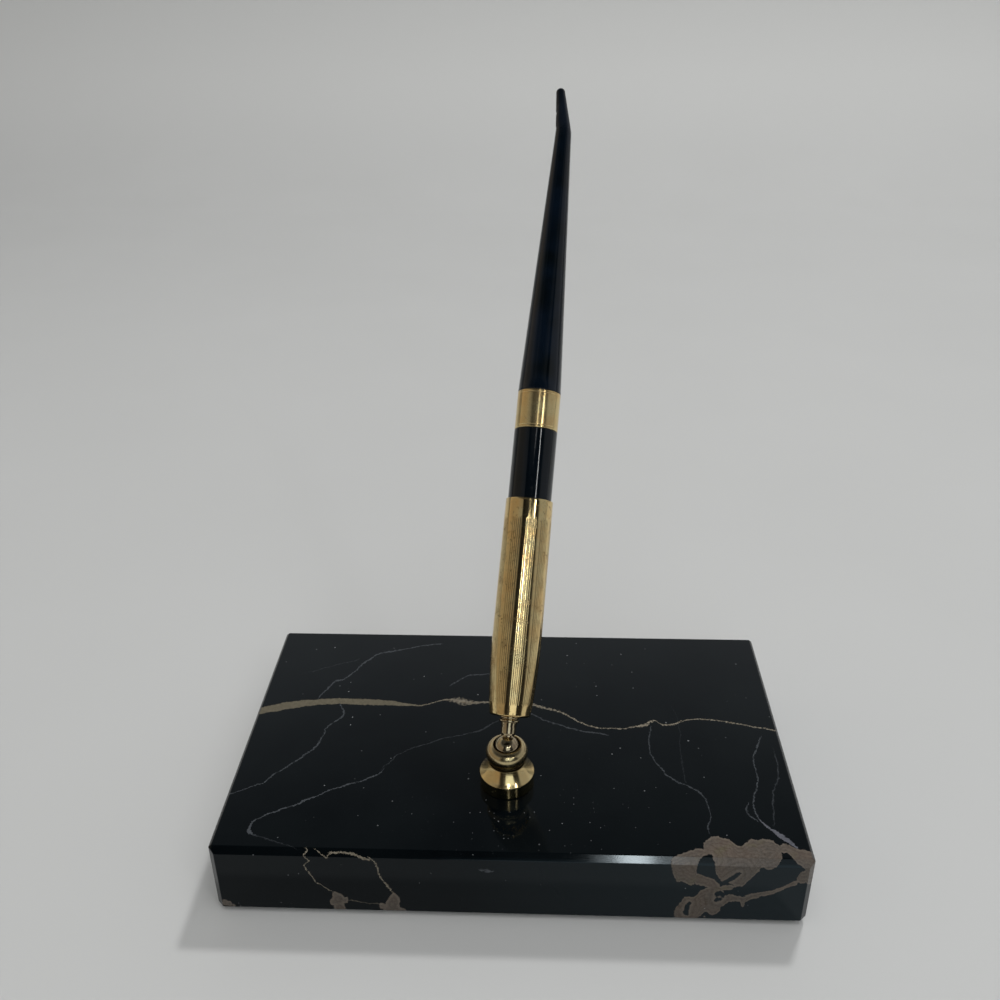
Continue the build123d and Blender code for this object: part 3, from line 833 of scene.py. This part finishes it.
def engraved_sleeve(material):
    """Tapered sleeve with panels of fine engraved lines.

    The outline runs up the outside, over the rim, down the inside and out under the bottom. Across a
    panel the outside has flat lands with grooves of a V section between them. A groove is drawn in by
    line_depth at its floor, times a share that fades in and out at the panel's two ends.
    """
    pitch = np.arange(lines_per_panel)[:, None] + groove_at
    share = np.append(pitch.ravel(), lines_per_panel) / lines_per_panel
    count = len(share)
    wave = np.append(np.tile(groove_shape, lines_per_panel), 0.0)
    stripe = 2 * math.pi / panel_count - panel_angle
    between = panel_angle + stripe * np.array(stripe_at)
    one_panel = np.concatenate([share * panel_angle, between])
    one_wave = np.concatenate([wave, np.zeros(len(between))])
    one_mask = np.concatenate([np.ones(count), np.zeros(len(between))])
    turns = np.arange(panel_count)[:, None] * 2 * math.pi / panel_count
    angles = (turns + one_panel).ravel() + panel_turn

    round_top = sleeve_bottom + sleeve_foot_round
    up = np.concatenate([
        np.linspace(round_top, panel_bottom, 5),
        [panel_bottom + panel_fade],
        np.linspace(panel_bottom + 1, panel_top - 1, 40),
        [panel_top - panel_fade, panel_top, sleeve_rim - 0.5, sleeve_rim - sleeve_lip_height],
    ])
    outside = np.stack([sleeve_radius(up), up], 1)
    foot_center = (sleeve_radius(round_top) - sleeve_foot_round, round_top)
    foot = arc(foot_center, sleeve_foot_round, np.linspace(-math.pi / 2, -0.12, 6))
    lip_half = sleeve_wall / 2
    lip_center = (sleeve_rim_radius - lip_half, sleeve_rim - sleeve_lip_height)
    lip = arc(lip_center, (lip_half, sleeve_lip_height), np.linspace(0, math.pi, 7))
    down = np.linspace(sleeve_rim - 0.2, plug_bottom, 24)
    inside = np.stack([sleeve_radius(down, sleeve_wall), down], 1)
    hole = np.array([[sleeve_hole_radius, plug_bottom], [sleeve_hole_radius, sleeve_bottom]])
    outline = np.concatenate([foot, outside, lip[1:], inside, hole])

    grid = turned(outline, angles)
    height = outline[:, 1]
    fade = np.clip(np.minimum(height - panel_bottom, panel_top - height) / panel_fade, 0, 1)
    fade[len(foot) + len(outside):] = 0
    depth = np.outer(fade, np.tile(one_wave, panel_count))
    panel = np.outer(fade, np.tile(one_mask, panel_count))
    shrink = 1 - line_depth * depth / np.maximum(outline[:, :1], 1)
    grid[..., :2] *= shrink[..., None]
    marks = {"line_depth": depth, "panel": panel}
    return surface("engraved_sleeve", grid, pen_frame, True, material, 60, marks)


def bent_tail(material):
    """Long taper, hollow at its thick end, with a bent and dented tip.

    The centre line turns by tip_bend over tip_bend_length: its slope is a smooth step of the station, and
    its points are the running sum of (-sin slope, cos slope). Each ring lies square to it, with its radius
    lowered by a bell of each dent's length and width.
    """
    straight = np.linspace(band_back + 0.5, tail_kink - 6, 30)
    taper = np.concatenate([straight, np.linspace(tail_kink - 5.5, tail_end - 1.2, 60)])
    share = np.clip((tail_kink - taper) / (tail_kink - band_back), 0, 1)
    beyond = np.clip((taper - tail_kink) / (tail_end - tail_tip_radius - tail_kink), 0, 1)
    radius = tail_kink_radius + share * (barrel_radius - tail_kink_radius)
    radius -= beyond * (tail_kink_radius - tail_tip_radius)
    dome = arc((0, tail_end - tail_tip_radius), tail_tip_radius, np.linspace(0.1, math.pi / 2, 14))
    dome[-1, 0] = 0
    end = eased(
        [
            (0, tail_bore_end), (refill_bore, tail_bore_end), (refill_bore, tail_socket_end),
            (connector_bore, tail_socket_end), (connector_bore, band_back),
            (barrel_radius - edge_break, band_back), (barrel_radius, band_back + edge_break),
            (barrel_radius - 0.01, band_back + 0.45),
        ],
        0.04, False,
    )
    outline = np.concatenate([end, np.stack([radius, taper], 1), dome])
    angles = round_angles(112)
    station = outline[:, 1]
    reach = arc((0, 0), 1, angles)
    rings = np.repeat(outline[:, :1], len(angles), 1)
    for at, angle, deep, length, width in tail_dents:
        away = np.angle(np.exp(1j * (angles - math.radians(angle))))
        bell = np.outer(np.exp(-(((station - at) / length) ** 2)), np.exp(-((away / width) ** 2)))
        rings = rings - deep * bell * (rings > 0)
    fine = np.linspace(0, tail_end, 4001)
    bend = np.clip((fine - tail_kink + tip_bend_length / 2) / tip_bend_length, 0, 1)
    slope = tip_bend * bend**2 * (3 - 2 * bend)
    step = fine[1] - fine[0]
    center_x = np.interp(station, fine, np.cumsum(-np.sin(slope)) * step)
    center_z = np.interp(station, fine, (np.cumsum(np.cos(slope)) - 1) * step)
    tilt = np.interp(station, fine, slope)
    grid = np.stack([
        center_x[:, None] + rings * reach[:, 0] * np.cos(tilt)[:, None],
        rings * reach[:, 1],
        center_z[:, None] + rings * reach[:, 0] * np.sin(tilt)[:, None],
    ], axis=-1)
    return surface("bent_tail", grid, pen_frame, False, material)


def turned_piece(name, corners, place, closed, material, radius=0.06, count=128):
    """Piece turned from an outline of corners (radius, height) with every corner eased."""
    return surface(name, turned(eased(corners, radius, closed), round_angles(count)), place, closed, material)


def foot_outline():
    """Rim, hollow cone, neck and spigot of the foot, from the screw's hole round to the cup's floor."""
    share = np.linspace(0, 1, 9)[1:-1, None]
    rim, top = np.array(cone_rim), np.array(cone_top)
    across = np.array([-(top - rim)[1], (top - rim)[0]]) / np.linalg.norm(top - rim)
    cone = rim + share * (top - rim) + cone_hollow * 4 * share * (1 - share) * across
    lower = [
        (0, screw_hole_depth), (screw_hole_radius, screw_hole_depth), (screw_hole_radius, 0),
        (foot_radius - foot_edge_width, 0), (foot_radius, foot_edge_height), (foot_radius, foot_side_top),
        rim,
    ]
    upper = [
        top, (neck_radius, top[1]), (neck_radius, neck_top), (spigot_radius, neck_top),
        (spigot_radius, spigot_top), (socket_radius, spigot_top), (socket_radius, cup_floor), (0, cup_floor),
    ]
    return np.concatenate([lower, cone, upper])


def cap_outline():
    """Bulging bead on a thin ring, and the round hollow that holds the ball."""
    bead = arc(bead_middle, bead_halves, np.linspace(bead_start, math.pi / 2, 24))
    lip_angle = math.asin(lip_rise / socket_radius)
    hollow = arc((0, ball_height), socket_radius, np.linspace(lip_angle, 0, 8))
    thread = [
        (socket_radius, cap_thread_top), (cap_thread_radius, cap_thread_top), (cap_thread_radius, neck_top),
        (cap_ring_radius, neck_top), (cap_ring_radius, cap_ring_top),
    ]
    return np.concatenate([bead, hollow, thread])


def stud_outline():
    """Ball, waisted stem with a flare, and the shank inside the sleeve."""
    neck = math.asin(ball_neck_radius / ball_radius)
    ball = arc((0, 0), ball_radius, np.linspace(-math.pi / 2, math.pi / 2 - neck, 40))
    ball[0, 0] = 0
    shank = [
        (stem_end_radius, stem_end), (shank_radius, stem_end), (shank_radius, shank_end), (0, shank_end),
    ]
    return np.concatenate([ball, stem_waist, shank])


def collar_outline():
    """Two beads with a groove between them, round the shank."""
    corners = [(sleeve_hole_radius, 0), *collar_beads, (sleeve_hole_radius, collar_top)]
    return np.array(corners) + (0, collar_bottom)


def liner_outline():
    """Liner of the sleeve, bored to the pen's grip and nose."""
    up = np.linspace(plug_top, liner_top, 12)
    outer = np.stack([sleeve_radius(up, sleeve_wall + liner_gap), up], 1)
    bore = [
        (liner_grip_bore, liner_top), (liner_grip_bore, grip_front), (liner_nose_bore, barrel_front),
        (liner_nose_bore, plug_top),
    ]
    return np.concatenate([outer, bore])


def barrel_outline():
    """Visible barrel, the grip inside the sleeve, and the stepped bore."""
    return [
        (spigot_bore, barrel_front), (nose_radius, barrel_front), (grip_radius, grip_front),
        (grip_radius, barrel_shoulder), (barrel_radius, barrel_shoulder),
        (barrel_radius, barrel_back - edge_break), (barrel_radius - edge_break, barrel_back),
        (insert_bore, barrel_back), (insert_bore, insert_front),
        (refill_bore, insert_front), (refill_bore, barrel_step), (spigot_bore, barrel_step),
    ]


def band_outline():
    """Plain band with both edges broken and a fine turned line near each edge."""
    edge = [
        (connector_bore, 0), (barrel_radius - edge_break, 0), (barrel_radius, edge_break),
        (barrel_radius, band_line_at - band_line_half), (barrel_radius - band_line_depth, band_line_at),
        (barrel_radius, band_line_at + band_line_half),
    ]
    lower = np.array(edge) + (0, barrel_back)
    upper = np.array(edge) * (1, -1) + (0, band_back)
    return np.concatenate([lower, upper[::-1]])


def nose_outline():
    """Metal cone at the writing end, with its spigot and stepped bore."""
    return [
        (nose_tip_bore, nose_front), (nose_tip_radius, nose_front), (nose_radius, barrel_front),
        (nose_spigot_radius, barrel_front), (nose_spigot_radius, nose_back), (nose_bore, nose_back),
        (nose_bore, nose_step), (nose_tip_bore, nose_step),
    ]


def point_outline():
    """Writing point of the refill: a ball end, a cone, a neck and a spigot."""
    length = point_back - point_front
    corners = [(0, 0), *point_ball, (point_radius, point_cone), (point_radius, length), (0, length)]
    return np.array(corners) + (0, point_front)


def felt_sheet(material):
    """Sheet of felt under the slab: a rounded rectangle carried round its edge.

    The outline is a superellipse of felt_power, drawn in by a seeded ripple of the cut, and the section
    runs from the centre below, round the soft edge, to the centre above.
    """
    angles = round_angles(720)
    half = np.array([slab_width / 2 - pad_inset, slab_depth / 2 - pad_inset])
    circle = arc((0, 0), 1, angles)
    size = (np.abs(circle / half) ** felt_power).sum(axis=1) ** (-1 / felt_power)
    ripple = np.random.default_rng(7).normal(0, felt_ripple, len(angles))
    size = size - np.abs(ripple)
    reach = np.clip(size - np.array(felt_inset)[:, None], 0, None)
    level = np.repeat(np.array(felt_height)[:, None], len(angles), 1)
    grid = np.stack([reach * circle[:, 0], reach * circle[:, 1], level], axis=-1)
    return surface("felt_sheet", grid, (np.zeros(3), np.eye(3)), False, material)


def stone_slab(material):
    """Copy of the slab's solid with its sharp edges bevelled round."""
    mesh = nodes["marble_base"].data.copy()
    mesh.materials.clear()
    mesh.materials.append(material)
    made = added("stone_slab", mesh)
    weld = made.modifiers.new("join_corners", "WELD")
    weld.merge_threshold = 1e-6
    rub = made.modifiers.new("rubbed_edges", "BEVEL")
    rub.width = slab_edge * MM
    rub.segments = 3
    rub.limit_method = "ANGLE"
    rub.angle_limit = math.radians(30)
    return made


brown_tarnish = color(0.070, 0.042, 0.016)
# Near black, used for tarnish spots and for painted shade in the foot's neck and the cap's hollow
tarnish_and_shade_black = color(0.012, 0.008, 0.004)
new_gold = (color(0.81, 0.65, 0.33), color(0.80, 0.57, 0.26), brown_tarnish)
worn_gold = (color(0.62, 0.51, 0.28), color(0.54, 0.42, 0.24), tarnish_and_shade_black)
dull_gold = (color(0.52, 0.44, 0.27), color(0.40, 0.31, 0.21), color(0.10, 0.06, 0.03))
# Painted shade: the foot's neck under the cap is painted near black between these heights
neck_of_foot = (slab_top + cone_top[1], slab_top + neck_top)
tarnish_and_shade_gold = (*new_gold[:2], tarnish_and_shade_black)
foot_gold = gold_plate("foot_gold", upright, tarnish_and_shade_gold, 0.10, 0.25, 1.0, crevice=neck_of_foot)
cap_gold = gold_plate("cap_gold", upright, worn_gold, 0.17, 0.25, 0.8, hollow=shaded_gap_radius)
ball_gold = gold_plate("ball_gold", pen_axis, dull_gold, 0.08, 0.8, 0.5)
sleeve_gold = gold_plate("sleeve_gold", pen_axis, new_gold, 0.07, 0.85, 0.2, panels=True)
band_gold = gold_plate("band_gold", pen_axis, new_gold, 0.15, 0.3, 0.6)
nose_gold = gold_plate("nose_gold", pen_axis, new_gold, 0.08, 0.2, 0.6)
barrel_black = black_resin("barrel_black", 0.35)
tail_black = black_resin("tail_black", 1.0, 1.0)
liner_black = moulded("liner_black", color(0.030, 0.030, 0.032), color(0.016, 0.016, 0.018), 0.42, 3.0)
turned_brass = plain_metal("turned_brass", color(0.74, 0.55, 0.26), color(0.60, 0.42, 0.19), 0.22, pen_axis)
zinc_steel = plain_metal("zinc_steel", color(0.60, 0.61, 0.63), color(0.45, 0.46, 0.48), 0.26, upright)
natural_nylon = moulded("natural_nylon", color(0.80, 0.79, 0.74), color(0.70, 0.68, 0.62), 0.45, 2.0)
black_rubber = moulded("black_rubber", color(0.035, 0.035, 0.035), color(0.020, 0.020, 0.020), 0.70, 4.0)

slab = stone_slab(black_marble())
felt = felt_sheet(felt_cloth())
foot = turned_piece("swivel_foot_gold", foot_outline(), upright_frame, False, foot_gold)
cap = turned_piece("socket_cap_gold", cap_outline(), upright_frame, True, cap_gold)
stud = turned_piece("ball_and_stem", stud_outline(), pen_frame, False, ball_gold)
collar = turned_piece("collar_beads", collar_outline(), pen_frame, True, ball_gold)
sleeve = engraved_sleeve(sleeve_gold)
liner = turned_piece("liner_tube", liner_outline(), pen_frame, True, liner_black)
barrel = turned_piece("resin_barrel", barrel_outline(), pen_frame, True, barrel_black)
band = turned_piece("gold_band", band_outline(), pen_frame, True, band_gold)
tail = bent_tail(tail_black)
nose = turned_piece("gold_nose", nose_outline(), pen_frame, True, nose_gold)
point = turned_piece("writing_point", point_outline(), pen_frame, False, turned_brass)

made_pieces = (
    (slab, "base", "marble_base", "black_stone"),
    (felt, "base", "felt_pad", "felt"),
    (foot, "base", "swivel_foot", "gold_plate"),
    (cap, "base", "socket_cap", "gold_plate"),
    (stud, "swivel_stud", "ball_stud", "gold_plate"),
    (collar, "sleeve", "stem_collar", "gold_plate"),
    (sleeve, "sleeve", "sleeve_shell", "gold_plate"),
    (liner, "sleeve", "sleeve_liner", "liner_plastic"),
    (barrel, "pen", "pen_barrel", "black_resin"),
    (band, "pen", "center_band", "gold_plate"),
    (tail, "pen", "pen_tail", "black_resin"),
    (nose, "pen", "nose_cone", "gold_plate"),
    (point, "pen", "refill_tip", "plain_brass"),
)
for piece, body, node, slot in made_pieces:
    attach(piece, body)
    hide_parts(node)

kept_nodes = {
    "base_screw": zinc_steel,
    "flat_washer": zinc_steel,
    "lock_washer": zinc_steel,
    "disc_springs": zinc_steel,
    "ball_seat": natural_nylon,
    "sleeve_plug": turned_brass,
    "barrel_insert": turned_brass,
    "tail_connector": turned_brass,
    "refill_tube": turned_brass,
    "refill_plug": natural_nylon,
    "refill_buffer": black_rubber,
}
for node, material in kept_nodes.items():
    nodes[node].data.materials.clear()
    nodes[node].data.materials.append(material)

# Stage: a pale floor that sweeps up into a backdrop
sweep = np.concatenate([
    [(-floor_reach, 0.0)],
    arc((sweep_start, sweep_radius), sweep_radius, np.linspace(-math.pi / 2, 0, 24)),
    [(sweep_start + sweep_radius, backdrop_top)],
])
sides = np.linspace(-floor_reach, floor_reach, 3)
stage_points = np.stack([
    np.repeat(sides[None], len(sweep), 0),
    np.repeat(sweep[:, :1], len(sides), 1),
    np.repeat(sweep[:, 1:], len(sides), 1),
], axis=-1)
stage_mesh = bpy.data.meshes.new("pale_sweep")
corners = np.arange(len(sweep) * len(sides)).reshape(len(sweep), len(sides))
squares = [corners[:-1, :-1], corners[:-1, 1:], corners[1:, 1:], corners[1:, :-1]]
stage_faces = np.stack(squares, -1).reshape(-1, 4)
stage_mesh.from_pydata((stage_points.reshape(-1, 3) * MM).tolist(), [], stage_faces.tolist())
stage_mesh.shade_smooth()
pale_sweep = added("pale_sweep", stage_mesh)
paper = Finish("pale_paper", Roughness=0.7)
paper_tone = paper.blend(paper.noise(0.01, 2.0), color(0.575, 0.58, 0.572), color(0.605, 0.61, 0.603))
# Painted light: the sweep is painted paler with height, brightest on the backdrop
paper_tone = paper.blend(paper.rise(paper.along(upright), 5.0, 90.0), paper_tone, color(0.65, 0.655, 0.645))
stage_mesh.materials.append(paper.shade(Base_Color=paper_tone))


def area_light(name, place, target, size, watts, mirrored=True, tint=(1, 1, 1)):
    """Rectangular soft light at a place, facing a target, and shown in polished surfaces if mirrored."""
    lamp = bpy.data.lights.new(name, "AREA")
    lamp.shape = "RECTANGLE"
    lamp.size, lamp.size_y = size
    lamp.energy = watts
    lamp.color = tint
    made = added(name, lamp)
    made.visible_glossy = mirrored
    back = np.array(place, float) - np.array(target, float)
    back /= np.linalg.norm(back)
    side = np.cross((0, 0, 1) if abs(back[2]) < 0.99 else (0, 1, 0), back)
    side /= np.linalg.norm(side)
    pose(made, [side, np.cross(back, side), back], place)


on_object = (0, 0, 0.06)
area_light("key", (0.455, 0.82, 1.50), on_object, (0.16, 0.16), 10.0, mirrored=False)
area_light("soft", (0.20, -0.45, 1.60), (0, 0.40, 0.10), (1.6, 1.6), 14.2, mirrored=False)
area_light("panel_front", (0.261, -1.048, 0.586), on_object, (0.73, 0.60), 1.42, tint=(0.86, 0.95, 1.0))
area_light("strip_front", (0.142, -0.947, 0.870), (0.027, -0.04, 0.018), (0.113, 0.12), 0.30)
area_light("strip_core", (0.137, -0.944, 0.862), (0.027, -0.04, 0.018), (0.045, 0.05), 0.28)
area_light("strip_high", (0.110, -0.750, 0.990), on_object, (0.10, 0.10), 0.063)
area_light("strip_right", (0.640, -0.740, 0.840), on_object, (0.045, 0.19), 0.54)

# Room: pale walls low down, dimmer at both sides and warm on the left, a dim ceiling, and darkness in front
world = bpy.data.worlds.new("room")
world.use_nodes = True
bpy.context.scene.world = world
room = Graph(world.node_tree)
sideways, back, up = room.axes(room.node("TexCoord", output="Generated"))
dark_turn = math.radians(13)
facing = (sideways * math.sin(dark_turn) - back * math.cos(dark_turn)) / ((1.001 - up * up) ** 0.5)
in_front = room.rise(facing + room.rise(up, 0.63, 0.77) * 0.35, 0.60, 0.78)
leftward = room.rise(sideways, -0.2, -0.7)
rightward = room.rise(sideways, 0.25, 0.75)
walls = 0.08 + room.rise(up, 0.78, 0.55) * 0.44
shares = 1 - in_front * 0.92 - leftward * 0.42 - rightward * 0.36 + room.rise(back, 0.0, 0.4) * 0.25
over_front = in_front * room.rise(up, 0.71, 0.75) * room.rise(up, 0.86, 0.78) * 0.10
light = room.tree.nodes["Background"].inputs
room.feed(light["Strength"], walls * shares.most(0.04) + over_front)
warm_share = leftward * room.rise(up, 0.70, 0.45)
room.feed(light["Color"], room.blend(warm_share, color(0.96, 0.98, 1.0), color(1.0, 0.86, 0.68)))

yaw, dip, roll = (math.radians(angle) for angle in (camera_yaw, camera_dip, camera_roll))
forward = np.array([math.sin(yaw) * math.cos(dip), math.cos(yaw) * math.cos(dip), -math.sin(dip)])
level = np.array([math.cos(yaw), -math.sin(yaw), 0.0])
down = np.cross(forward, level)
right = math.cos(roll) * level + math.sin(roll) * down
lens = bpy.data.cameras.new("camera")
lens.sensor_width = sensor
lens.lens = camera_focal_share * sensor
lens.clip_start = 0.01
lens.clip_end = 20
camera = added("camera", lens)
pose(camera, [right, np.cross(right, forward), -forward], np.array(camera_place) * MM)
bpy.context.scene.camera = camera
bpy.context.scene.view_settings.view_transform = "Standard"
